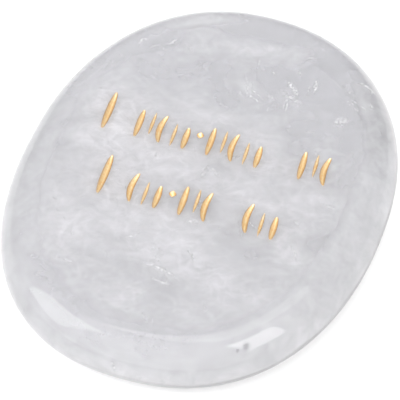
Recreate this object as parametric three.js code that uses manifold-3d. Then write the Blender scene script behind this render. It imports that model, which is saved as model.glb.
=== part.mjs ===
// Engraved pocket stone: a flat oval palm stone of rock crystal with two rows of V-cut strokes in its top.
// Millimetres, +Z up. The origin is the middle of the underside, and +X runs along the rows of strokes.
import * as THREE from 'three';
import * as BufferGeometryUtils from 'three/addons/utils/BufferGeometryUtils.js';
import Module from 'manifold-3d';

// Stone: a rounded oval slab, widest at half its height
const STONE_WIDTH = 35.0;
const STONE_LENGTH = 45.0;
const STONE_THICKNESS = 6.2;
const OUTLINE_POWER = 2.23;
const UNEVEN_LOBES = [
  { lobes: 3, height: 0.07, turn: 0 },
  { lobes: 5, height: 0.055, turn: Math.PI / 9 },
];
const EDGE_INSET = 2.8;
const EDGE_POWER = 1.8;
const OUTLINE_POINTS = 96;
const EDGE_STEPS = 9;
const SHORT_TURN = 0.001;

// Strokes: spindle-shaped V cuts, set out in groups along two straight rows
const TALL_STROKE = 4.8;
const TALL_WIDTH = 0.7;
const LOW_STROKE = 3.5;
const STEM_WIDTH = 0.62;
const HAIR_WIDTH = 0.34;
const STEM_FULLNESS = 0.4;
const HAIR_FULLNESS = 0.6;
const SICKLE_BEND = -0.32;
const CUT_SLOPE = 1.15;
const CUT_LIFT = 0.02;
const STROKE_LEAN = THREE.MathUtils.degToRad(-4);
const STROKE_PITCH = 1.19;
const STROKE_STEPS = 10;
const CUT_SIDES = 4;

// The strokes that a group takes by turns: rise is the middle's height and share the length, in low strokes
const STROKE_TURNS = [
  { rise: 0.5, share: 1.0, width: STEM_WIDTH, fullness: STEM_FULLNESS },
  { rise: 0.6, share: 0.8, width: HAIR_WIDTH, fullness: HAIR_FULLNESS },
  { rise: 0.5, share: 1.0, width: STEM_WIDTH, fullness: STEM_FULLNESS, bend: SICKLE_BEND },
  { rise: 0.4, share: 0.8, width: HAIR_WIDTH, fullness: HAIR_FULLNESS },
  { rise: 0.39, share: 0.78, width: STEM_WIDTH, fullness: STEM_FULLNESS },
  { rise: 0.62, share: 0.22, width: TALL_WIDTH, fullness: 1.0 },
];

// Each row's base line, its tall first stroke and its groups; a group starts with the turn that first names
const STROKE_ROWS = [
  {
    base: 1.05,
    tallAt: -10.7,
    groups: [{ from: -7.4, count: 11, first: 0 }, { from: 8.7, count: 3, first: 0 }],
  },
  {
    base: -6.6,
    tallAt: -8.15,
    groups: [{ from: -5.0, count: 7, first: 2 }, { from: 6.1, count: 3, first: 2 }],
  },
];

const CRYSTAL_COLOUR = 0xdcdce2;
const CRYSTAL_ROUGHNESS = 0.08;
const MERGE_DISTANCE = 1e-4;

// A point on the oval's widest edge, with the slight unevenness of hand grinding
function outlinePoint(angle) {
  const across = Math.cos(angle);
  const along = Math.sin(angle);
  const reach = (Math.abs(across) ** OUTLINE_POWER + Math.abs(along) ** OUTLINE_POWER) ** (-1 / OUTLINE_POWER);
  const point = new THREE.Vector2(across * STONE_WIDTH, along * STONE_LENGTH).multiplyScalar(reach / 2);
  let swell = 0;
  for (const { lobes, height, turn } of UNEVEN_LOBES) {
    swell += height * Math.cos(lobes * (angle - turn));
  }
  return point.setLength(point.length() + swell);
}

// The direction straight out of the oval at that point, square to a short run of its edge
function outlineNormal(angle) {
  const run = outlinePoint(angle + SHORT_TURN).sub(outlinePoint(angle - SHORT_TURN)).normalize();
  return new THREE.Vector2(run.y, -run.x);
}

// The edge's cross-section from the middle of the underside, round the rim, to the middle of the top
function edgeProfile() {
  const widest = STONE_WIDTH / 2;
  const profile = [new THREE.Vector2(0, 0)];
  for (let step = -EDGE_STEPS; step <= EDGE_STEPS; step += 1) {
    const turn = (step / EDGE_STEPS) * (Math.PI / 2);
    const out = Math.abs(Math.cos(turn));
    const up = Math.sin(turn);
    const reach = (out ** EDGE_POWER + Math.abs(up) ** EDGE_POWER) ** (-1 / EDGE_POWER);
    const inset = Math.abs(step) === EDGE_STEPS ? EDGE_INSET : EDGE_INSET * (1 - out * reach);
    profile.push(new THREE.Vector2(widest - inset, (STONE_THICKNESS / 2) * (1 + up * reach)));
  }
  profile.push(new THREE.Vector2(0, STONE_THICKNESS));
  return profile;
}

// The round lathe form is drawn out to the oval, with the same edge all the way round
function stoneBlank() {
  const blank = new THREE.LatheGeometry(edgeProfile(), OUTLINE_POINTS);
  blank.rotateX(Math.PI / 2);
  const place = blank.attributes.position;
  for (let index = 0; index < place.count; index += 1) {
    const radius = Math.hypot(place.getX(index), place.getY(index));
    if (radius > 0) {
      const angle = Math.atan2(place.getY(index), place.getX(index));
      const inset = STONE_WIDTH / 2 - radius;
      const moved = outlinePoint(angle).addScaledVector(outlineNormal(angle), -inset);
      place.setXY(index, moved.x, moved.y);
    }
  }
  return sizedBlank(blank);
}

// The drawn-out form is brought to its exact width and length, centred over the origin
function sizedBlank(blank) {
  blank.computeBoundingBox();
  const size = blank.boundingBox.getSize(new THREE.Vector3());
  const middle = blank.boundingBox.getCenter(new THREE.Vector3());
  blank.translate(-middle.x, -middle.y, 0);
  blank.scale(STONE_WIDTH / size.x, STONE_LENGTH / size.y, 1);
  return blank;
}

// One cutter: a four-sided spindle lying in the top face, so that its lower half cuts a V with pointed ends
function strokeCutter({ x, y, length, width, fullness, bend = 0 }) {
  const profile = [];
  for (let step = 0; step <= STROKE_STEPS; step += 1) {
    const along = step / STROKE_STEPS;
    const swell = step % STROKE_STEPS === 0 ? 0 : Math.sin(Math.PI * along) ** fullness;
    profile.push(new THREE.Vector2((width / 2) * swell, length * (along - 0.5)));
  }
  const cutter = new THREE.LatheGeometry(profile, CUT_SIDES);
  cutter.scale(1, 1, CUT_SLOPE);
  const place = cutter.attributes.position;
  for (let index = 0; index < place.count; index += 1) {
    const share = (2 * place.getY(index)) / length;
    place.setX(index, place.getX(index) + bend * (1 - share * share));
  }
  cutter.rotateZ(-STROKE_LEAN);
  return cutter.translate(x, y, STONE_THICKNESS + CUT_LIFT);
}

// The strokes of one group, at an even pitch
function groupStrokes({ from, count, first }, base) {
  return Array.from({ length: count }, (unused, index) => {
    const turn = STROKE_TURNS[(index + first) % STROKE_TURNS.length];
    return {
      ...turn,
      x: from + index * STROKE_PITCH,
      y: base + turn.rise * LOW_STROKE,
      length: turn.share * LOW_STROKE,
    };
  });
}

// The tall leaf that opens a row
function tallStroke(x, base) {
  return { x, y: base + TALL_STROKE / 2, length: TALL_STROKE, width: TALL_WIDTH, fullness: STEM_FULLNESS };
}

function allStrokes() {
  return STROKE_ROWS.flatMap(({ base, tallAt, groups }) => [
    tallStroke(tallAt, base),
    ...groups.flatMap((group) => groupStrokes(group, base)),
  ]);
}

const wasm = await Module();
wasm.setup();

function toSolid(geometry) {
  geometry.deleteAttribute('normal');
  geometry.deleteAttribute('uv');
  const merged = BufferGeometryUtils.mergeVertices(geometry, MERGE_DISTANCE);
  return new wasm.Manifold(new wasm.Mesh({
    numProp: 3,
    vertProperties: new Float32Array(merged.attributes.position.array),
    triVerts: new Uint32Array(merged.index.array),
  }));
}

function toGeometry(solid) {
  const mesh = solid.getMesh();
  const geometry = new THREE.BufferGeometry();
  geometry.setAttribute('position', new THREE.BufferAttribute(mesh.vertProperties, 3));
  geometry.setIndex(new THREE.BufferAttribute(mesh.triVerts, 1));
  geometry.computeVertexNormals();
  return geometry;
}

// The stone is ground first, and its strokes are cut into the finished top
function engravedStone() {
  let stone = toSolid(stoneBlank());
  for (const stroke of allStrokes()) {
    stone = stone.subtract(toSolid(strokeCutter(stroke)));
  }
  return toGeometry(stone);
}

const crystal = new THREE.MeshStandardMaterial({
  color: CRYSTAL_COLOUR,
  roughness: CRYSTAL_ROUGHNESS,
  metalness: 0,
});
const stone = new THREE.Mesh(engravedStone(), crystal);
stone.name = 'stone';

const pocketStone = new THREE.Group();
pocketStone.add(stone);

export default pocketStone;
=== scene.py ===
import math
import random

import bmesh
import bpy
import numpy as np
from mathutils import Matrix, Vector, noise


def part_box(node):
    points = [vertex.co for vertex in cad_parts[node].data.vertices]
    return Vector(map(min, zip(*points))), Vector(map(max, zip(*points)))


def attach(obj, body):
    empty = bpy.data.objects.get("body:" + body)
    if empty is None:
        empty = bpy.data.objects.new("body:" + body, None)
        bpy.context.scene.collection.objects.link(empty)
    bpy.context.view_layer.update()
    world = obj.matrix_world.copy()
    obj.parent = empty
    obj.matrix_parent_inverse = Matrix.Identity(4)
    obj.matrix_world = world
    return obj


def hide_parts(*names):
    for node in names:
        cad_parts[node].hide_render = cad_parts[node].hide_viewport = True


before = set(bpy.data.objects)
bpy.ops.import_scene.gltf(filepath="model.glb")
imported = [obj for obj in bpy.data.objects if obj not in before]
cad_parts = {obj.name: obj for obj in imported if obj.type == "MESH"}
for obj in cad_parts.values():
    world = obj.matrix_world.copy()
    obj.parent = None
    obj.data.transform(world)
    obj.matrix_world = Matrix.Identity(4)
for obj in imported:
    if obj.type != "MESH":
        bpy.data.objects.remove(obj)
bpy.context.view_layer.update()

# Crystal body
# A slab of clear to milky rock crystal, sawn to an oval about 35 by 45 mm, ground round at the edge by hand
# and polished all over. It lies on its flat underside.
MM = 0.001
stone_low, stone_high = (Vector(corner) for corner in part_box("stone"))
stone_size = stone_high - stone_low
outline_power = 2.23
uneven_lobes = [(3, 0.07 * MM, 0.0), (5, 0.055 * MM, math.pi / 9)]
edge_inset = 2.8 * MM
edge_power = 1.8
outline_points = 288
edge_steps = 26

# One more ring just inside each flat face's border keeps the shading of the rounded edge off the flat
guard_inset = 0.25 * MM


def outline_point(angle):
    """A point on the oval's widest edge, with the slight unevenness of hand grinding."""
    across = np.cos(angle)
    along = np.sin(angle)
    reach = (np.abs(across) ** outline_power + np.abs(along) ** outline_power) ** (-1 / outline_power) / 2
    x = stone_size.x * across * reach
    y = stone_size.y * along * reach
    swell = sum(height * np.cos(lobes * (angle - turn)) for lobes, height, turn in uneven_lobes)
    grow = 1 + swell / np.hypot(x, y)
    return np.stack([x * grow, y * grow], axis=-1)


def outline_normal(angle):
    """The direction straight out of the oval at that point."""
    short_turn = 0.001
    run = outline_point(angle + short_turn) - outline_point(angle - short_turn)
    run /= np.linalg.norm(run, axis=-1, keepdims=True)
    return np.stack([run[:, 1], -run[:, 0]], axis=-1)


def edge_curve(turn):
    """How far out and how far up the rounded edge is, as shares, at a turn from its widest line."""
    out = abs(math.cos(turn))
    up = math.sin(turn)
    reach = (out ** edge_power + abs(up) ** edge_power) ** (-1 / edge_power)
    return out * reach, up * reach


def edge_profile():
    """Inset and height of each ring of the rounded edge, from the underside up to the top."""
    rings = [(edge_inset + guard_inset, 0.0)]
    for step in range(-edge_steps, edge_steps + 1):
        out, up = edge_curve(step / edge_steps * math.pi / 2)
        inset = edge_inset if abs(step) == edge_steps else edge_inset * (1 - out)
        rings.append((inset, stone_size.z / 2 * (1 + up)))
    rings.append((edge_inset + guard_inset, stone_size.z))
    return rings


def mesh_object(name, points, faces, material, smooth=True):
    mesh = bpy.data.meshes.new(name)
    mesh.from_pydata([tuple(point) for point in points], [], faces)
    mesh.validate()
    piece = bpy.data.objects.new(name, mesh)
    bpy.context.scene.collection.objects.link(piece)
    mesh.materials.append(material)
    if smooth:
        mesh.shade_smooth()
    return piece


def ring_faces(rings, count):
    """Quads between closed rings of points, lowest ring first, seen from outside."""
    faces = []
    for ring in range(rings - 1):
        for index in range(count):
            after = (index + 1) % count
            low = ring * count
            high = low + count
            faces.append((low + index, low + after, high + after, high + index))
    return faces


def stone_blank(material):
    angle = np.linspace(0, 2 * math.pi, outline_points, endpoint=False)
    edge = outline_point(angle)
    normal = outline_normal(angle)
    points = []
    profile = edge_profile()
    for inset, height in profile:
        flat = edge - normal * inset
        points.append(np.column_stack([flat, np.full(outline_points, height)]))
    points = np.concatenate(points)
    lowest = points.min(axis=0)
    highest = points.max(axis=0)
    centre = (lowest + highest) / 2
    points[:, :2] = (points[:, :2] - centre[:2]) * np.array(stone_size.xy) / (highest - lowest)[:2]
    faces = ring_faces(len(profile), outline_points)
    top = (len(profile) - 1) * outline_points
    faces.append(tuple(reversed(range(outline_points))))
    faces.append(tuple(range(top, top + outline_points)))
    blank = mesh_object("crystal_body", points, faces, material)
    for flat_face in blank.data.polygons[-2:]:
        flat_face.use_smooth = False
    return blank


def new_material(name):
    material = bpy.data.materials.new(name)
    material.use_nodes = True
    shader = material.node_tree.nodes["Principled BSDF"]
    return material, material.node_tree, shader


def add_mottles(tree, place, scale, detail, roughness=0.5, distortion=0.0):
    """A soft uneven pattern; the larger its scale, the finer it is."""
    mottles = tree.nodes.new("ShaderNodeTexNoise")
    settings = {"Scale": scale, "Detail": detail, "Roughness": roughness, "Distortion": distortion}
    for socket, value in settings.items():
        mottles.inputs[socket].default_value = value
    tree.links.new(place, mottles.inputs["Vector"])
    return mottles


def add_bump(tree, shader, height, strength, distance):
    bump = tree.nodes.new("ShaderNodeBump")
    bump.inputs["Strength"].default_value = strength
    bump.inputs["Distance"].default_value = distance
    tree.links.new(height, bump.inputs["Height"])
    tree.links.new(bump.outputs["Normal"], shader.inputs["Normal"])


def crystal_material():
    """See-through crystal, greyer where it is thicker, with the slight waves of a hand polish."""
    material, tree, shader = new_material("rock_crystal")
    place = tree.nodes.new("ShaderNodeTexCoord").outputs["Object"]
    polish = add_mottles(tree, place, scale=260.0, detail=2.0)
    add_bump(tree, shader, polish.outputs["Fac"], strength=0.25, distance=0.1 * MM)
    shader.inputs["Base Color"].default_value = (0.96, 0.955, 0.97, 1)
    shader.inputs["Roughness"].default_value = 0.03
    shader.inputs["IOR"].default_value = 1.54
    shader.inputs["Transmission Weight"].default_value = 0.82
    depth = tree.nodes.new("ShaderNodeVolumeAbsorption")
    depth.inputs["Color"].default_value = (0.36, 0.375, 0.46, 1)
    depth.inputs["Density"].default_value = 61.0
    tree.links.new(depth.outputs["Volume"], tree.nodes["Material Output"].inputs["Volume"])
    return material


crystal = crystal_material()
body = stone_blank(crystal)

# Cut strokes
# Two rows of V cuts, ground into the polished top with a pointed wheel. Each cut is a spindle lying in the
# face, so it is widest and deepest in the middle and runs out to a point at both ends. Handling has knocked
# a few small chips out of the crystal, which the same cutter takes away.
tall_stroke = 4.8 * MM
tall_width = 0.7 * MM
low_stroke = 3.5 * MM
stem_width = 0.62 * MM
hair_width = 0.34 * MM
stem_fullness = 0.4
hair_fullness = 0.6
sickle_bend = -0.32 * MM
cut_slope = 1.15
cut_lift = 0.02 * MM
stroke_lean = math.radians(-4)
stroke_pitch = 1.19 * MM
cut_steps = 28

# The strokes that a group takes by turns: rise of the middle and length as shares of a low stroke, width,
# fullness of the spindle and sideways bend
stroke_turns = [
    (0.5, 1.0, stem_width, stem_fullness, 0.0),
    (0.6, 0.8, hair_width, hair_fullness, 0.0),
    (0.5, 1.0, stem_width, stem_fullness, sickle_bend),
    (0.4, 0.8, hair_width, hair_fullness, 0.0),
    (0.39, 0.78, stem_width, stem_fullness, 0.0),
    (0.62, 0.22, tall_width, 1.0, 0.0),
]

# Each row's base line, its tall first stroke and its groups as start, count and first turn
stroke_rows = [
    (1.05 * MM, -10.7 * MM, [(-7.4 * MM, 11, 0), (8.7 * MM, 3, 0)]),
    (-6.6 * MM, -8.15 * MM, [(-5.0 * MM, 7, 2), (6.1 * MM, 3, 2)]),
]

# Small chips and pits: place, how far across and how deep
nicks = [
    (10.1 * MM, -17.8 * MM, 5.42 * MM, 0.34 * MM, 0.3 * MM),
    (9.5 * MM, -18.3 * MM, 5.3 * MM, 0.2 * MM, 0.18 * MM),
    (-0.4 * MM, -22.35 * MM, 4.1 * MM, 0.3 * MM, 0.34 * MM),
    (0.1 * MM, -22.3 * MM, 4.35 * MM, 0.2 * MM, 0.2 * MM),
    (-7.3 * MM, -3.4 * MM, 6.22 * MM, 0.16 * MM, 0.1 * MM),
    (13.2 * MM, -4.3 * MM, 6.22 * MM, 0.2 * MM, 0.1 * MM),
]
nick_roughness = (0.8, 1.15)
nick_seed = 5


def all_strokes():
    strokes = []
    for base, tall_at, groups in stroke_rows:
        strokes.append((tall_at, base + tall_stroke / 2, tall_stroke, tall_width, stem_fullness, 0.0))
        for start, count, first in groups:
            for index in range(count):
                rise, share, width, fullness, bend = stroke_turns[(index + first) % len(stroke_turns)]
                x = start + index * stroke_pitch
                strokes.append((x, base + rise * low_stroke, share * low_stroke, width, fullness, bend))
    return strokes


def swell_at(along, fullness):
    return math.sin(math.pi * along) ** fullness if 0 < along < 1 else 0.0


def leaned(x, y):
    """A point of a stroke turned by the rows' lean."""
    turn = -stroke_lean
    return x * math.cos(turn) - y * math.sin(turn), x * math.sin(turn) + y * math.cos(turn)


def nick_mesh(x, y, height, across, deep, dice):
    """A small rough lens, which takes a shell-shaped chip out of the surface."""
    ball = bmesh.new()
    bmesh.ops.create_icosphere(ball, subdivisions=2, radius=1.0)
    points = []
    for vertex in ball.verts:
        rough = dice.uniform(*nick_roughness)
        points.append((
            x + vertex.co.x * across * rough,
            y + vertex.co.y * across * rough,
            height + vertex.co.z * deep * rough,
        ))
    faces = [tuple(vertex.index for vertex in face.verts) for face in ball.faces]
    ball.free()
    return points, faces


def spindle_mesh(at_x, at_y, length, width, fullness, bend):
    """A four-sided spindle, pointed at both ends, which lies in the face."""
    points = []
    for step in range(cut_steps + 1):
        along = step / cut_steps
        half = width / 2 * swell_at(along, fullness)
        y = length * (along - 0.5)
        middle = bend * (1 - (2 * y / length) ** 2)
        corners = [(half, 0.0), (0.0, half * cut_slope), (-half, 0.0), (0.0, -half * cut_slope)]
        if half == 0:
            corners = [(0.0, 0.0)]
        for side, up in corners:
            x, turned_y = leaned(middle + side, y)
            points.append((at_x + x, at_y + turned_y, stone_size.z + cut_lift + up))
    faces = []
    last = 1 + (cut_steps - 2) * 4
    for corner in range(4):
        after = (corner + 1) % 4
        faces.append((0, 1 + after, 1 + corner))
        faces.append((last + corner, last + after, last + 4))
        for low in range(1, last, 4):
            faces.append((low + corner, low + after, low + 4 + after, low + 4 + corner))
    return points, faces


def add_part(points, faces, part_points, part_faces):
    """Adds a part to the points and faces of a mesh that is made of several."""
    start = len(points)
    points += part_points
    faces += [tuple(start + corner for corner in face) for face in part_faces]


def cutter_mesh(strokes):
    points = []
    faces = []
    dice = random.Random(nick_seed)
    for nick in nicks:
        add_part(points, faces, *nick_mesh(*nick, dice))
    for stroke in strokes:
        add_part(points, faces, *spindle_mesh(*stroke))
    return points, faces


strokes = all_strokes()
cutter = mesh_object("stroke_cutter", *cutter_mesh(strokes), crystal)
shape = bmesh.new()
shape.from_mesh(cutter.data)
bmesh.ops.recalc_face_normals(shape, faces=shape.faces)
shape.to_mesh(cutter.data)
shape.free()
cut = body.modifiers.new("cut", "BOOLEAN")
cut.operation = "DIFFERENCE"
cut.solver = "EXACT"
cut.object = cutter
bpy.context.view_layer.update()
engraved = bpy.data.meshes.new_from_object(body.evaluated_get(bpy.context.evaluated_depsgraph_get()))
body.modifiers.clear()
body.data = engraved
bpy.data.objects.remove(cutter)
engraved.set_sharp_from_angle(angle=math.radians(30))
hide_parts("stone")
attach(body, "root")

# Milky veils
# Healed cracks full of tiny bubbles, which cloud the crystal in soft layers and leave some places clear. Each
# is an uneven sheet sealed in the stone, which thins out towards its rounded edge. The veils are listed from
# the top down by their height and how milky they are.
veils_down = [(5.6 * MM, 1.3), (5.0 * MM, 1.1), (4.1 * MM, 0.8), (2.9 * MM, 0.6), (1.4 * MM, 0.5)]
veil_cells = 120
veil_wave = 0.2 * MM
veil_wave_scale = 0.2
veil_clearance = 0.2 * MM
veil_border = 3.2 * MM

# A thin haze lies over each whole veil: how much of it, and its shares in clear and in milky places
veil_haze = 0.16
haze_in_clear = 0.6
haze_in_milk = 0.75

# The clouds: their share, scales along the stone's three directions, drift and contrast. The grain of each
# uneven shape is how fast it gets rougher, the step between its sizes and how many sizes it has.
cloud_share = 0.36
cloud_across = 0.13
cloud_up = 0.24
cloud_down = 0.3
cloud_drift = 0.16
cloud_contrast = 2.8
cloud_grain = (0.9, 2.1, 4)
veil_wave_grain = (0.8, 2.0, 4)

# Seeded, so that the clouds drift the same way each time
cloud_seed = 6
noise.seed_set(cloud_seed)

# The clouds follow the grain of the crystal, which runs across the stone at 19 degrees. Clear and milky
# places are given as place across and up the grain, half width and half height in millimetres, and how much
# milk they lack or have.
grain_turn = math.radians(19)
clear_places = [
    (-5.8, 16.7, 2.6, 1.5, 1.0), (8.6, 18.2, 3.6, 1.5, 1.7), (3.1, 19.0, 2.0, 1.0, 0.6),
    (13.2, 13.6, 2.2, 1.9, 1.6), (8.6, 9.8, 5.0, 3.2, 0.8), (14.5, 4.5, 3.6, 6.0, 0.7),
    (-13.2, 3.0, 1.6, 0.8, 0.6), (-11.2, 5.9, 2.4, 1.0, 0.5), (-3.3, -14.0, 1.8, 1.2, 0.6),
    (0.0, -4.9, 1.2, 1.1, 0.8), (4.8, -10.3, 2.2, 1.5, 0.7), (10.4, -9.2, 2.6, 1.2, 0.9),
    (11.0, -12.8, 0.9, 1.1, 0.7), (-14.3, -12.6, 1.6, 1.0, 0.8), (-8.3, -8.6, 2.2, 0.7, 0.3),
    (1.6, -0.1, 1.4, 0.8, 0.3), (-4.6, 14.2, 3.4, 2.8, 0.45), (3.0, 18.0, 3.2, 1.6, 0.4),
    (9.0, 17.0, 2.4, 1.4, 0.3), (0.8, 12.2, 2.6, 1.6, 0.3), (9.6, 4.6, 2.6, 1.4, 0.6),
    (12.6, -2.6, 1.6, 1.4, 0.3), (-3.8, -16.0, 1.8, 1.2, 0.4), (3.0, 13.5, 10.0, 4.6, 0.28),
    (-4.5, 16.6, 2.2, 1.2, 0.4), (14.2, 8.0, 1.8, 1.6, 0.5), (2.2, 9.0, 2.0, 1.4, 0.5),
    (1.8, -8.2, 1.6, 1.2, 0.5), (5.8, -13.2, 1.6, 1.4, 0.4), (8.4, 2.0, 1.4, 1.4, 0.5),
    (-11.4, -5.0, 2.4, 2.2, 0.3), (-7.0, -12.4, 2.4, 1.6, 0.35), (7.2, -3.6, 1.6, 1.2, 0.3),
    (2.4, 7.2, 2.0, 1.2, 0.3), (-4.8, 11.0, 2.6, 3.0, 0.2),
]
milky_places = [
    (5.8, 15.3, 5.6, 0.9, 0.5), (-10.4, 9.6, 3.2, 1.8, 0.4), (-4.1, 2.1, 3.4, 2.4, 0.5),
    (-13.3, -6.9, 3.0, 2.4, 0.3), (-1.2, -8.6, 4.2, 1.6, 0.3), (8.6, -5.6, 2.6, 1.2, 0.2),
    (-9.0, -2.5, 5.0, 4.0, 0.15), (-8.6, 6.2, 2.0, 2.4, 0.55), (-8.0, -2.6, 2.4, 2.8, 0.85),
    (-4.2, -6.2, 2.6, 1.4, 0.4), (-12.6, 10.0, 1.8, 1.8, 0.3), (3.6, -3.0, 2.2, 1.6, 0.25),
    (-4.2, -10.4, 2.2, 1.6, 0.15), (2.0, 6.2, 2.4, 1.0, 0.3), (4.8, -16.0, 2.4, 1.2, 0.45),
    (-7.4, 3.6, 1.6, 1.8, 0.35), (-13.0, 11.0, 2.2, 2.2, 1.0), (-10.5, -8.0, 4.0, 1.4, 0.3),
    (7.4, -9.4, 2.4, 1.8, 0.4), (4.4, 9.9, 1.2, 1.2, 0.4), (-10.4, 4.0, 2.6, 1.2, 0.4),
    (14.2, 10.6, 1.2, 1.2, 0.5), (-1.4, -0.4, 1.8, 1.2, 0.15), (-14.0, -9.0, 1.6, 1.6, 0.4),
]


def grain_place(x, y):
    """Millimetres across and up the grain."""
    across = (x * math.cos(grain_turn) + y * math.sin(grain_turn)) / MM
    up = (y * math.cos(grain_turn) - x * math.sin(grain_turn)) / MM
    return across, up


def place_sum(places, across, up):
    total = 0.0
    for at_across, at_up, width, height, share in places:
        total += share * math.exp(-((across - at_across) / width) ** 2 - ((up - at_up) / height) ** 2)
    return total


def milk_at(x, y, z):
    """How milky the crystal is at a point, from 0 to 1, without hard borders."""
    across, up = grain_place(x, y)
    down = z / MM * cloud_down
    drift = noise.noise_vector(Vector((across * cloud_drift, up * cloud_drift, down)))
    spot = Vector((across * cloud_across + drift.x, up * cloud_up + drift.y, down))
    milk = cloud_share * noise.fractal(spot, *cloud_grain)
    milk += place_sum(milky_places, across, up) - place_sum(clear_places, across, up)
    return 1 / (1 + math.exp(-cloud_contrast * milk))


def inset_at(height):
    """How far the rounded edge stands back from the oval's widest line at a height."""
    up = min(abs(height / (stone_size.z / 2) - 1), 1)
    return edge_inset * (1 - (1 - up ** edge_power) ** (1 / edge_power))


def veil_wave_at(x, y, height):
    spot = Vector((x / MM * veil_wave_scale, y / MM * veil_wave_scale, height / MM))
    return veil_wave * noise.fractal(spot, *veil_wave_grain)


def eased(share):
    """A share kept between 0 and 1, which starts and ends softly."""
    share = np.clip(share, 0, 1)
    return share ** 2 * (3 - 2 * share)


def net_faces(rows, columns):
    """Quads of a net of points, row by row."""
    row = columns + 1
    corners = [step * row + column for step in range(rows) for column in range(columns)]
    return [(low, low + 1, low + row + 1, low + row) for low in corners]


def veil_sheet(height, strength):
    """A square net of points drawn out to the oval, with its milk and haze, which fade towards its border."""
    inset = max(inset_at(height - veil_wave), inset_at(height + veil_wave)) + veil_clearance
    place = np.linspace(-1, 1, veil_cells + 1)
    across, along = np.meshgrid(place, place)
    round_x = across * np.sqrt(1 - along ** 2 / 2)
    round_y = along * np.sqrt(1 - across ** 2 / 2)
    angle = np.arctan2(round_y, round_x).ravel()
    border = outline_point(angle) - outline_normal(angle) * inset
    reach = np.hypot(round_x, round_y).reshape(-1, 1)
    inside = (1 - reach.ravel()) * np.hypot(border[:, 0], border[:, 1]) / veil_border
    points = [(x, y, height + veil_wave_at(x, y, height)) for x, y in border * reach]
    milk = []
    haze = []
    for point, share in zip(points, strength * eased(inside)):
        milky = milk_at(*point)
        milk.append(share * milky)
        haze.append(veil_haze * share * (haze_in_clear + haze_in_milk * milky))
    return points, net_faces(veil_cells, veil_cells), milk, haze


def add_share(piece, name, shares):
    """Keeps a number from 0 to 1 at each point of a mesh, for its material to read."""
    layer = piece.data.attributes.new(name, "FLOAT", "POINT")
    layer.data.foreach_set("value", shares)


def read_share(tree, name):
    share = tree.nodes.new("ShaderNodeAttribute")
    share.attribute_name = name
    return share.outputs["Fac"]


def add_range(tree, value, low, high, to_low=0.0, to_high=1.0):
    """Stretches a pattern from one range to another and cuts it off at both ends."""
    tone = tree.nodes.new("ShaderNodeMapRange")
    settings = {"From Min": low, "From Max": high, "To Min": to_low, "To Max": to_high}
    for socket, limit in settings.items():
        tone.inputs[socket].default_value = limit
    tree.links.new(value, tone.inputs["Value"])
    return tone.outputs["Result"]


def add_math(tree, operation, *terms, clamp=False):
    together = tree.nodes.new("ShaderNodeMath")
    together.operation = operation
    together.use_clamp = clamp
    for socket, term in zip(together.inputs, terms):
        tree.links.new(term, socket)
    return together.outputs["Value"]


def veil_material():
    """White where the sheet is milky, in clouds drawn out along the grain with finer threads among them."""
    material, tree, shader = new_material("milky_veil")
    place = tree.nodes.new("ShaderNodeTexCoord").outputs["Object"]
    grain = tree.nodes.new("ShaderNodeMapping")
    grain.vector_type = "TEXTURE"
    grain.inputs["Rotation"].default_value = (0, 0, grain_turn)
    grain.inputs["Scale"].default_value = (1.0, 0.6, 0.8)
    tree.links.new(place, grain.inputs["Vector"])
    along_grain = grain.outputs["Vector"]
    clouds = add_mottles(tree, along_grain, scale=420.0, detail=10.0, roughness=0.78, distortion=0.5)
    tone = add_range(tree, clouds.outputs["Fac"], low=0.32, high=0.7, to_low=0.22, to_high=0.58)
    threads = add_mottles(tree, place, scale=520.0, detail=8.0, roughness=0.7, distortion=0.6)
    threads.noise_type = "RIDGED_MULTIFRACTAL"
    threads.inputs["Offset"].default_value = 0.75
    threads.inputs["Gain"].default_value = 2.4
    thread_tone = add_range(tree, threads.outputs["Fac"], low=0.25, high=1.1, to_high=0.15)
    wisps = add_math(tree, "ADD", tone, thread_tone)
    milk = read_share(tree, "milk")
    haze = read_share(tree, "haze")
    tree.links.new(add_math(tree, "MULTIPLY_ADD", milk, wisps, haze, clamp=True), shader.inputs["Alpha"])
    shader.inputs["Base Color"].default_value = (0.97, 0.965, 0.985, 1)
    shader.inputs["Roughness"].default_value = 0.9
    shader.inputs["Specular IOR Level"].default_value = 0.0
    return material


def milky_veils():
    points = []
    faces = []
    milk = []
    haze = []
    for height, strength in veils_down:
        sheet_points, sheet_faces, sheet_milk, sheet_haze = veil_sheet(height, strength)
        add_part(points, faces, sheet_points, sheet_faces)
        milk += sheet_milk
        haze += sheet_haze
    piece = mesh_object("milky_veils", points, faces, veil_material())
    add_share(piece, "milk", milk)
    add_share(piece, "haze", haze)
    return piece


veils = milky_veils()
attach(veils, "root")

# Rim haze, with painted light and painted shade
# The rim is hazy: fine bubbles lie in mottles all along the rounded edge, just under its polish, most of
# them low down and at the near end. Its colour is painted whiter low down and towards the near end, as
# painted light from below. The haze ends under the flat top. At one corner, where the edge turns under, a
# thin dark line of painted shade runs along it.
rim_spokes = 180
rim_steps = 26
rim_lowest = -0.96
rim_highest = 0.98
rim_cover_steps = 14
rim_depth = 0.3 * MM
rim_cover = 3.0 * MM

# How hazy the rim is high up and low down, then how much of the low haze is at the sides, how much more of it
# there is towards the near end, and the least and most there can be
rim_haze_high = 0.2
rim_haze_low = 0.52
rim_side_share = 0.75
rim_near_gain = 0.5
rim_share_limits = (0.3, 1.1)
rim_near = math.radians(-58)

# Where the rim is milkier, as the angle round the stone, half the width in degrees and how much haze is added
rim_milky_sides = [(-4.0, 46.0, 0.42), (199.0, 34.0, 0.28), (118.0, 20.0, 0.5)]

# The painted shade line, a thin dark line of painted shade low on the edge: the corner that it lies at, how
# far round it reaches, the turn of the rounding where it starts, and how far it drops towards the near side
painted_shade_line_corner = math.radians(-32)
painted_shade_line_reach = 1.3
painted_shade_line_start = math.radians(24)
painted_shade_line_near = math.radians(-71)
painted_shade_line_drop = math.radians(33)
painted_shade_line_soft = math.radians(7)
painted_shade_line_haze = 0.96


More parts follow.
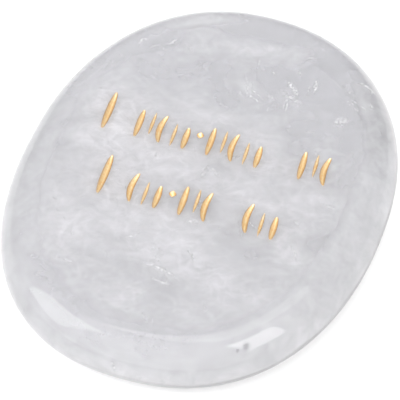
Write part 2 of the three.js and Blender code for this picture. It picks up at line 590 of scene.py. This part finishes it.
def rim_milk(normal):
    around = np.degrees(np.arctan2(normal[:, 1], normal[:, 0]))
    milk = np.zeros(len(around))
    for at, width, share in rim_milky_sides:
        apart = (around - at + 180) % 360 - 180
        milk += share * np.exp(-(apart / width) ** 2)
    return milk


def facing(normal, turn):
    """How far each point of the edge faces a direction round the stone, from -1 to 1."""
    return normal @ np.array([math.cos(turn), math.sin(turn)])


def painted_shade_line_at(turn, normal):
    """How much painted shade darkens the edge at a turn of its rounding, from 0 to 1."""
    corner = np.clip(painted_shade_line_reach * facing(normal, painted_shade_line_corner), 0, 1)
    start = painted_shade_line_start - painted_shade_line_drop * facing(normal, painted_shade_line_near)
    return corner * eased((start - turn) / painted_shade_line_soft)


def rim_material():
    """Greyish haze high up, painted whiter lower down as painted light, both in mottles, and a dark line of
    painted shade.
    """
    material, tree, shader = new_material("rim_haze")
    # Painted light: greyish high up, and whiter low down and towards the near end, as light from below
    tone = tree.nodes.new("ShaderNodeMix")
    tone.data_type = "RGBA"
    tone.inputs["A"].default_value = (0.74, 0.738, 0.77, 1)
    tone.inputs["B"].default_value = (0.86, 0.86, 0.875, 1)
    tree.links.new(read_share(tree, "low"), tone.inputs["Factor"])
    # A thin dark line of painted shade along the lower edge, mixed over the haze's colour
    painted_shade_tone = tree.nodes.new("ShaderNodeMix")
    painted_shade_tone.data_type = "RGBA"
    painted_shade_tone.inputs["B"].default_value = (0.1, 0.1, 0.11, 1)
    tree.links.new(tone.outputs["Result"], painted_shade_tone.inputs["A"])
    tree.links.new(read_share(tree, "painted_shade"), painted_shade_tone.inputs["Factor"])
    tree.links.new(painted_shade_tone.outputs["Result"], shader.inputs["Base Color"])
    place = tree.nodes.new("ShaderNodeTexCoord").outputs["Object"]
    mottles = add_mottles(tree, place, scale=300.0, detail=10.0, roughness=0.74, distortion=0.4)
    uneven = add_range(tree, mottles.outputs["Fac"], low=0.32, high=0.68, to_low=0.66, to_high=1.34)
    haze = read_share(tree, "haze")
    tree.links.new(add_math(tree, "MULTIPLY", haze, uneven, clamp=True), shader.inputs["Alpha"])
    shader.inputs["Roughness"].default_value = 0.9
    shader.inputs["Specular IOR Level"].default_value = 0.0
    return material


def rim_ring(inset, height, edge, normal):
    return [(x, y, height) for x, y in edge - normal * inset]


def rim_haze():
    """A shell under the rounded edge, and from its top a cover that thins out inwards under the flat."""
    angle = np.linspace(0, 2 * math.pi, rim_spokes, endpoint=False)
    edge = outline_point(angle)
    normal = outline_normal(angle)
    side_share = np.clip(rim_side_share + rim_near_gain * facing(normal, rim_near), *rim_share_limits)
    milk = rim_milk(normal)
    points = []
    haze = []
    low = []
    painted_shade = []
    for step in range(rim_steps + 1):
        turn = (rim_lowest + (rim_highest - rim_lowest) * step / rim_steps) * math.pi / 2
        out, up = edge_curve(turn)
        height = stone_size.z / 2 + (stone_size.z / 2 - rim_depth) * up
        points += rim_ring(rim_depth + edge_inset * (1 - out), height, edge, normal)
        low_share = min(max((stone_size.z - height) / (stone_size.z / 2), 0.0), 1.0)
        # How much painted shade the edge gets here, as a thin dark line low on the edge
        shade_line = painted_shade_line_at(turn, normal)
        covered = rim_haze_high + (rim_haze_low - rim_haze_high) * low_share * side_share
        covered += milk * (1 - low_share) * (1 - covered)
        # The share of whiter colour: painted light low down and towards the near end, and whiter haze at the
        # milkier sides
        low += list(np.clip(low_share * side_share + 2 * milk, 0, 1))
        painted_shade += list(shade_line)
        haze += list(covered + (painted_shade_line_haze - covered) * shade_line)
    for step in range(1, rim_cover_steps + 1):
        share = step / rim_cover_steps
        points += rim_ring(rim_depth + edge_inset + rim_cover * share, stone_size.z - rim_depth, edge, normal)
        low += list(np.clip(2 * milk, 0, 1))
        painted_shade += [0.0] * rim_spokes
        thinned = rim_haze_high * (1 - share) ** 2 * (1 + 2 * share)
        haze += list(thinned + milk * (1 - rim_haze_high) * (1 - share) ** 4)
    faces = ring_faces(rim_steps + rim_cover_steps + 1, rim_spokes)
    piece = mesh_object("rim_haze", points, faces, rim_material())
    add_share(piece, "haze", haze)
    add_share(piece, "low", low)
    add_share(piece, "painted_shade", painted_shade)
    return piece


rim = rim_haze()
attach(rim, "root")

# Feathers
# Small healed cracks that catch the light: long white feathers with their own places, fine ones scattered in
# clusters, and curls, which are shell-shaped cracks seen as rings of fine arcs. Each feather or arc is a
# thin, bowed and ragged film sealed in the crystal.
feather_length_steps = 28
feather_width_steps = 8
feather_tip = 0.02
feather_fullness = 0.7
ragged_share = 0.7
ragged_scale = 3
ragged_rows = 2
film_tilt = 0.5
film_ripple = 0.12
film_ripple_scale = 2
film_cover = 0.16 * MM

# How strongly a film shows, and how fast it fades towards its sides and its ends
frost_strength = 1.2
frost_across = 1.6
frost_along = 0.6

# Start, end, height, width and bow in millimetres, and how white the feather is
placed_feathers = [
    ((3.8, 13.0), (5.8, 11.1), 5.9, 0.36, 0.15, 1.0), ((3.5, 11.8), (6.8, 10.4), 5.7, 0.5, -0.2, 0.6),
    ((7.1, 11.9), (6.8, 14.2), 5.9, 0.3, 0.1, 1.0), ((6.4, 11.5), (6.2, 13.1), 5.8, 0.16, -0.1, 0.7),
    ((-0.4, 12.9), (1.1, 9.1), 5.8, 0.14, 0.3, 0.6), ((0.4, 12.5), (1.7, 8.7), 5.7, 0.12, 0.2, 0.5),
    ((2.3, 10.6), (4.2, 10.1), 5.5, 0.3, 0.1, 0.5), ((10.1, 14.6), (12.8, 13.9), 5.9, 0.3, 0.6, 0.9),
    ((10.5, 13.7), (12.4, 13.1), 5.7, 0.24, -0.4, 0.8), ((11.1, 12.6), (13.1, 11.7), 5.7, 0.3, 0.4, 1.0),
    ((11.4, 11.9), (12.4, 11.1), 5.9, 0.26, 0.3, 0.9), ((9.6, 8.6), (11.5, 9.9), 5.9, 0.9, 0.1, 0.55),
    ((-12.4, -8.8), (-8.4, -11.4), 5.6, 0.2, 0.25, 0.7), ((-12.2, -10.4), (-9.3, -12.3), 5.4, 0.16, 0.2, 0.6),
    ((-1.5, -12.6), (2.6, -13.5), 5.8, 0.3, 0.3, 0.8), ((-0.2, -13.7), (2.0, -14.0), 5.7, 0.18, -0.2, 0.7),
    ((0.6, -12.1), (1.7, -14.7), 5.7, 0.14, 0.1, 0.6), ((0.2, 0.7), (-0.1, -1.9), 5.6, 0.5, 0.2, 0.5),
    ((-15.8, -3.8), (-14.5, -2.3), 5.3, 0.2, 0.15, 0.7), ((-11.3, 12.5), (-10.5, 14.1), 5.8, 0.24, 0.3, 0.8),
    ((-9.0, 13.6), (-8.0, 15.0), 5.9, 0.22, -0.3, 0.8), ((-10.2, 12.5), (-9.0, 13.4), 5.7, 0.16, 0.3, 0.6),
    ((-9.5, -17.1), (-8.7, -16.3), 5.8, 0.22, 0.4, 0.6), ((-9.0, -17.4), (-8.0, -16.9), 5.7, 0.16, -0.3, 0.5),
    ((13.0, 3.1), (15.4, 2.6), 5.7, 0.2, 0.2, 0.5), ((11.3, -0.6), (14.6, -0.9), 5.6, 0.24, -0.25, 0.5),
    ((10.3, -6.2), (11.5, -8.1), 5.8, 0.2, 0.15, 0.6), ((1.0, -9.8), (3.2, -11.0), 5.6, 0.3, 0.2, 0.5),
    ((-9.4, -14.3), (-6.5, -14.4), 5.5, 0.3, -0.25, 0.5), ((4.6, 16.4), (6.2, 16.7), 5.9, 0.14, 0.1, 0.7),
    ((13.0, 10.3), (14.7, 8.9), 5.5, 0.2, 0.25, 0.8), ((4.7, 10.8), (5.1, 8.7), 5.8, 0.16, 0.12, 0.8),
    ((4.9, 11.1), (4.8, 9.2), 5.7, 0.12, -0.1, 0.7), ((0.0, 11.2), (2.8, 9.5), 5.8, 0.14, 0.2, 0.8),
    ((0.3, 10.6), (3.0, 9.2), 5.7, 0.2, -0.15, 0.7), ((4.4, 14.7), (5.2, 13.5), 5.8, 0.14, 0.2, 0.6),
    ((2.0, 13.9), (2.9, 12.9), 5.8, 0.12, 0.15, 0.6), ((-0.4, 13.6), (0.6, 12.9), 5.8, 0.12, 0.1, 0.6),
    ((-0.65, -22.12), (-0.35, -22.2), 3.75, 0.16, 0.05, 1.2),
    ((-0.4, -22.2), (-0.2, -22.26), 3.45, 0.1, 0.02, 0.9),
]

# Fine feathers: how many, and the ranges of their height and length in millimetres, of width for length, of
# bow in millimetres and of whiteness. They run in a few directions of the crystal, in degrees, with some
# scatter. All lie inside a share of the oval, and a distance inside the rounded edge.
fine_feathers = 260
fine_heights = (4.4, 5.8)
fine_lengths = (0.5, 1.9)
fine_slimness = (0.08, 0.22)
fine_bows = (-0.25, 0.25)
fine_whiteness = (0.25, 0.7)
fine_turns = (-52, -40, 8, 24, 96)
fine_scatter = (-14, 14)
fine_border = 0.92
fine_clearance = 1.4 * MM
fine_feather_seed = 11

# How thickly they lie on average, how far that varies, and the scale of the clusters
cluster_share = 0.5
cluster_gain = 0.9
cluster_scale = 0.22

# Curls: centre, radius and height in millimetres, number of arcs and whiteness. Then the ranges of an arc's
# scatter round the ring, its share of the radius, its span, its height above or below and its width.
curls = [
    ((11.0, 14.3), 1.1, 5.7, 11, 0.9), ((11.9, 12.1), 0.8, 5.7, 9, 1.0), ((10.7, 12.2), 0.45, 5.8, 6, 1.0),
    ((9.4, 5.3), 0.5, 5.8, 7, 0.7), ((2.3, 10.3), 0.7, 5.6, 7, 0.6),
]
arc_scatter = (-0.3, 0.3)
arc_reach = (0.5, 1.1)
arc_span = (0.5, 1.1)
arc_rise = (-0.15, 0.1)
arc_width = (0.08, 0.18)
curl_seed = 3


def edge_marks(count):
    """Points at an even turn along the oval's widest edge."""
    return outline_point(np.linspace(0, 2 * math.pi, count, endpoint=False))


def inside_by(x, y, height):
    """How far a point is inside the stone's rounded edge at its height."""
    return np.min(np.hypot(*(edge_marks(720) - (x, y)).T)) - inset_at(height)


def fine_feather(dice):
    while True:
        x = dice.uniform(-0.5, 0.5) * stone_size.x
        y = dice.uniform(-0.5, 0.5) * stone_size.y
        height = dice.uniform(*fine_heights)
        inside = math.hypot(2 * x / stone_size.x, 2 * y / stone_size.y) < fine_border
        cluster = cluster_share + cluster_gain * noise.noise(Vector((x, y, 0)) / MM * cluster_scale)
        if inside and inside_by(x, y, height * MM) > fine_clearance and dice.random() < cluster:
            break
    length = dice.uniform(*fine_lengths)
    turn = math.radians(dice.choice(fine_turns) + dice.uniform(*fine_scatter))
    half = Vector((math.cos(turn), math.sin(turn))) * length / 2
    middle = Vector((x, y)) / MM
    width = length * dice.uniform(*fine_slimness)
    bow = dice.uniform(*fine_bows)
    return middle - half, middle + half, height, width, bow, dice.uniform(*fine_whiteness)


def curl_arcs(centre, radius, height, arcs, whiteness, dice):
    films = []
    for index in range(arcs):
        turn = 2 * math.pi * index / arcs + dice.uniform(*arc_scatter)
        reach = radius * dice.uniform(*arc_reach)
        span = dice.uniform(*arc_span)
        ends = [Vector(centre) + reach * Vector((math.cos(at), math.sin(at))) for at in (turn, turn + span)]
        bow = -reach * (1 - math.cos(span / 2))
        arc_height = height + dice.uniform(*arc_rise)
        films.append((*ends, arc_height, dice.uniform(*arc_width), bow, whiteness))
    return films


def under_polish(points):
    """Keeps the points of a film sealed in: where the rounded edge comes down, they come down with it."""
    points = np.array(points)
    apart = points[:, None, :2] - edge_marks(360)[None, :, :]
    inside = np.min(np.linalg.norm(apart, axis=2), axis=1) - film_cover
    back = np.clip(inside / edge_inset, 0, 1)
    highest = stone_size.z / 2 * (1 + (1 - (1 - back) ** edge_power) ** (1 / edge_power)) - film_cover
    points[:, 2] = np.minimum(points[:, 2], highest)
    return points.tolist()


def feather_film(start, end, height, width, bow, whiteness):
    """A net of points along the film, with how white it is at each."""
    start = Vector(start)
    run = Vector(end) - start
    side = Vector((-run.y, run.x)).normalized()
    points = []
    frost = []
    for step in range(feather_length_steps + 1):
        along = step / feather_length_steps
        middle = start + run * along + side * bow * (1 - (2 * along - 1) ** 2)
        narrowed = math.sin(math.pi * min(max(along, feather_tip), 1 - feather_tip)) ** feather_fullness
        half = width * narrowed
        for column in range(feather_width_steps + 1):
            share = 2 * column / feather_width_steps - 1
            rag = Vector((middle.x * ragged_scale, middle.y * ragged_scale, share * ragged_rows))
            spot = middle + side * share * half * (1 + ragged_share * noise.noise(rag))
            ripple = Vector((spot.x * film_ripple_scale, spot.y * film_ripple_scale, height))
            lift = film_tilt * share * half + film_ripple * noise.noise(ripple)
            points.append((spot.x * MM, spot.y * MM, (height + lift) * MM))
            fade = (1 - share ** 2) ** frost_across * swell_at(along, frost_along)
            frost.append(frost_strength * whiteness * fade)
    return under_polish(points), net_faces(feather_length_steps, feather_width_steps), frost


def feather_material():
    """White, and broken up across into fine barbs."""
    material, tree, shader = new_material("white_feather")
    place = tree.nodes.new("ShaderNodeTexCoord").outputs["Object"]
    barbs = add_mottles(tree, place, scale=3600.0, detail=4.0)
    tone = add_range(tree, barbs.outputs["Fac"], low=0.35, high=0.65, to_low=0.2)
    frost = read_share(tree, "frost")
    tree.links.new(add_math(tree, "MULTIPLY", tone, frost, clamp=True), shader.inputs["Alpha"])
    shader.inputs["Base Color"].default_value = (1.0, 1.0, 1.0, 1)
    shader.inputs["Roughness"].default_value = 0.7
    shader.inputs["Specular IOR Level"].default_value = 0.2
    return material


def white_feathers():
    dice = random.Random(fine_feather_seed)
    films = placed_feathers + [fine_feather(dice) for _ in range(fine_feathers)]
    curl_dice = random.Random(curl_seed)
    for curl in curls:
        films += curl_arcs(*curl, curl_dice)
    points = []
    faces = []
    frost = []
    for film in films:
        film_points, film_faces, film_frost = feather_film(*film)
        add_part(points, faces, film_points, film_faces)
        frost += film_frost
    piece = mesh_object("white_feathers", points, faces, feather_material())
    add_share(piece, "frost", frost)
    return piece


feathers = white_feathers()
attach(feathers, "root")

# Gold paint
# Metallic gold paint brushed into the cuts and wiped off the face. It pools a little at the bottom of each V,
# is lumpy where it dried and runs slightly over the cut's lips.
paint_steps = 56
paint_columns = 12
pool_radius = 0.05 * MM
paint_film = 0.012 * MM
paint_seat = 0.03 * MM
lip_spread = 0.018 * MM
narrowest_paint = 0.004 * MM
lump_height = 0.034 * MM
lump_scale = 4200.0

# Painted shade: the paint is coloured dark brown at both lips and down the right-hand wall of each cut, as
# the shade in the V, from where it starts on that wall to where it is all brown
lip_painted_shade = 0.95
wall_painted_shade = 0.35
shaded_wall_start = 0.1
shaded_wall_run = 0.3


def paint_points(stroke, along, column_shares):
    """One ring round the paint across a stroke: its lumpy top, and back along the walls of the cut."""
    at_x, at_y, length, width, fullness, bend = stroke
    half = max(width / 2 * swell_at(along, fullness) - cut_lift / cut_slope, narrowest_paint)
    y = length * (along - 0.5)
    middle = bend * (1 - (2 * y / length) ** 2)
    top = []
    bottom = []
    for share in column_shares:
        ragged = lip_spread * noise.noise(Vector((at_x + share * MM, at_y + y, 0)) * lump_scale / 2)
        side = share * (half + lip_spread + ragged * abs(share))
        cut_z = min(0.0, -cut_slope * (half - abs(side)))
        pooled = min(0.0, -cut_slope * (half - math.sqrt(side * side + pool_radius * pool_radius)))
        x, turned_y = leaned(middle + side, y)
        spot = Vector((at_x + x, at_y + turned_y, 0))
        lump = lump_height * noise.noise(spot * lump_scale) * (1 - share ** 4)
        top.append((spot.x, spot.y, stone_size.z + max(pooled + lump, cut_z) + paint_film))
        bottom.append((spot.x, spot.y, stone_size.z + cut_z - paint_seat))
    return top + bottom[::-1]


def painted_shade_at(share):
    """How much painted shade darkens the paint across a stroke: at both lips, and down the right-hand wall.
    """
    shaded_right_wall = min(max((share - shaded_wall_start) / shaded_wall_run, 0.0), 1.0)
    return min(lip_painted_shade * share ** 4 + wall_painted_shade * shaded_right_wall, 1.0)


def gold_paint_material():
    material, tree, shader = new_material("gold_paint")
    place = tree.nodes.new("ShaderNodeTexCoord").outputs["Object"]
    flakes = add_mottles(tree, place, scale=5200.0, detail=4.0)
    add_bump(tree, shader, flakes.outputs["Fac"], strength=0.8, distance=0.04 * MM)
    tones = tree.nodes.new("ShaderNodeValToRGB")
    tones.color_ramp.elements[0].position = 0.32
    tones.color_ramp.elements[0].color = (0.9, 0.63, 0.3, 1)
    tones.color_ramp.elements[1].position = 0.68
    tones.color_ramp.elements[1].color = (1.0, 0.88, 0.62, 1)
    # Dark brown painted shade, mixed in at both lips and down the right-hand wall of each cut
    painted_shade_brown = tree.nodes.new("ShaderNodeMix")
    painted_shade_brown.data_type = "RGBA"
    painted_shade_brown.inputs["B"].default_value = (0.42, 0.2, 0.05, 1)
    tree.links.new(flakes.outputs["Fac"], tones.inputs["Fac"])
    tree.links.new(tones.outputs["Color"], painted_shade_brown.inputs["A"])
    tree.links.new(read_share(tree, "paint_shade"), painted_shade_brown.inputs["Factor"])
    tree.links.new(painted_shade_brown.outputs["Result"], shader.inputs["Base Color"])
    shader.inputs["Metallic"].default_value = 0.75
    shader.inputs["Roughness"].default_value = 0.32
    return material


def gold_paint():
    column_shares = [-1 + 2 * column / (paint_columns - 1) for column in range(paint_columns)]
    count = 2 * paint_columns
    last = paint_steps * count
    sides = ring_faces(paint_steps + 1, count)
    fill_faces = [(low, high, high_after, after) for low, after, high_after, high in sides]
    fill_faces.append(tuple(range(count)))
    fill_faces.append(tuple(last + index for index in reversed(range(count))))
    points = []
    faces = []
    for stroke in strokes:
        fill = []
        for step in range(paint_steps + 1):
            fill += paint_points(stroke, step / paint_steps, column_shares)
        add_part(points, faces, fill, fill_faces)
    piece = mesh_object("gold_paint", points, faces, gold_paint_material())
    shares = column_shares + column_shares[::-1]
    # Each point's share of painted shade, from its place across the stroke
    add_share(piece, "paint_shade", [painted_shade_at(share) for share in shares] * (len(points) // count))
    return piece


paint = gold_paint()
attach(paint, "root")

# Floor, light and camera
# A plain white table top, which glows faintly as a light table does, under a soft white sky that is brighter
# towards a low window at the near left. The floor isn't part of the object.
floor_size = 3.0
floor_drop = 0.05 * MM


def table_top():
    material, tree, shader = new_material("table_white")
    shader.inputs["Base Color"].default_value = (0.86, 0.86, 0.86, 1)
    shader.inputs["Emission Color"].default_value = (1.0, 1.0, 1.0, 1)
    shader.inputs["Emission Strength"].default_value = 0.15
    shader.inputs["Roughness"].default_value = 0.9
    shader.inputs["Specular IOR Level"].default_value = 0.0
    half = floor_size / 2
    corners = [(-half, -half), (half, -half), (half, half), (-half, half)]
    points = [(x, y, -floor_drop) for x, y in corners]
    return mesh_object("table_top", points, [(0, 1, 2, 3)], material, smooth=False)


table_top()

# The window is given by its direction from the stone as right, away and up in the picture
camera_turn = math.radians(19.21)
view_turn = Matrix.Rotation(camera_turn, 3, "Z")
window_direction = view_turn @ Vector((-0.3, -0.92, 0.2))
sky_low = 0.66
sky_high = 2.02

world = bpy.data.worlds.new("studio_sky")
world.use_nodes = True
sky = world.node_tree.nodes["Background"]
sky.inputs["Color"].default_value = (1.0, 1.0, 1.0, 1)
sky_place = world.node_tree.nodes.new("ShaderNodeTexCoord")
towards_window = world.node_tree.nodes.new("ShaderNodeVectorMath")
towards_window.operation = "DOT_PRODUCT"
towards_window.inputs[1].default_value = window_direction
glow = world.node_tree.nodes.new("ShaderNodeMapRange")
glow.interpolation_type = "SMOOTHSTEP"
glow.inputs["From Min"].default_value = -0.5
glow.inputs["From Max"].default_value = 0.95
glow.inputs["To Min"].default_value = sky_low
glow.inputs["To Max"].default_value = sky_high
world.node_tree.links.new(sky_place.outputs["Generated"], towards_window.inputs[0])
world.node_tree.links.new(towards_window.outputs["Value"], glow.inputs["Value"])
world.node_tree.links.new(glow.outputs["Result"], sky.inputs["Strength"])
bpy.context.scene.world = world

# The camera stands above the stone's near end. Its place, its lens and the pixels by which the middle of the
# stone is right of and above the picture's middle come from the outline and the rows of the photograph.
camera_elevation = math.radians(49.34)
camera_distance = 157.5 * MM
picture_width = 400
pixels_per_tangent = 1675.3
centre_right = 3.46
centre_up = 14.73

towards_camera = view_turn @ Vector((0, -math.cos(camera_elevation), math.sin(camera_elevation)))
picture_right = view_turn @ Vector((1, 0, 0))
picture_up = view_turn @ Vector((0, math.sin(camera_elevation), math.cos(camera_elevation)))
middle = Vector((0, 0, stone_size.z / 2))
pixel_size = camera_distance / pixels_per_tangent
aim = middle - picture_right * centre_right * pixel_size - picture_up * centre_up * pixel_size

camera_data = bpy.data.cameras.new("camera")
camera_data.sensor_width = 36.0
camera_data.lens = camera_data.sensor_width * pixels_per_tangent / picture_width
camera_data.clip_start = 0.01
camera = bpy.data.objects.new("camera", camera_data)
bpy.context.scene.collection.objects.link(camera)
camera.location = middle + towards_camera * camera_distance
camera.rotation_euler = (aim - camera.location).to_track_quat("-Z", "Y").to_euler()
bpy.context.scene.camera = camera
bpy.context.scene.view_settings.view_transform = "Standard"

# Three soft boxes: one overhead and a little behind, one at the left and one on the right near the camera.
# Each is given by its direction from the stone as right, away and up in the picture, its width and height at
# half a metre, and its power.
box_distance = 0.5
soft_boxes = [
    ("overhead_box", (0.145, 0.174, 0.977), 0.31, 0.30, 0.32),
    ("left_box", (-0.758, -0.145, 0.643), 0.29, 0.38, 0.66),
    ("right_box", (0.595, -0.516, 0.62), 0.2, 0.3, 0.66),
]
for name, direction, width, height, power in soft_boxes:
    light = bpy.data.lights.new(name, "AREA")
    light.shape = "RECTANGLE"
    light.size = width
    light.size_y = height
    light.energy = power
    lamp = bpy.data.objects.new(name, light)
    bpy.context.scene.collection.objects.link(lamp)
    away = (view_turn @ Vector(direction)).normalized()
    lamp.location = middle + away * box_distance
    lamp.rotation_euler = away.to_track_quat("Z", "Y").to_euler()

# Light is followed through many inner reflections, so that the crystal's edge doesn't go dark
paths = bpy.context.scene.cycles
paths.max_bounces = 16
paths.diffuse_bounces = 4
paths.glossy_bounces = 8
paths.transmission_bounces = 12
paths.transparent_max_bounces = 32
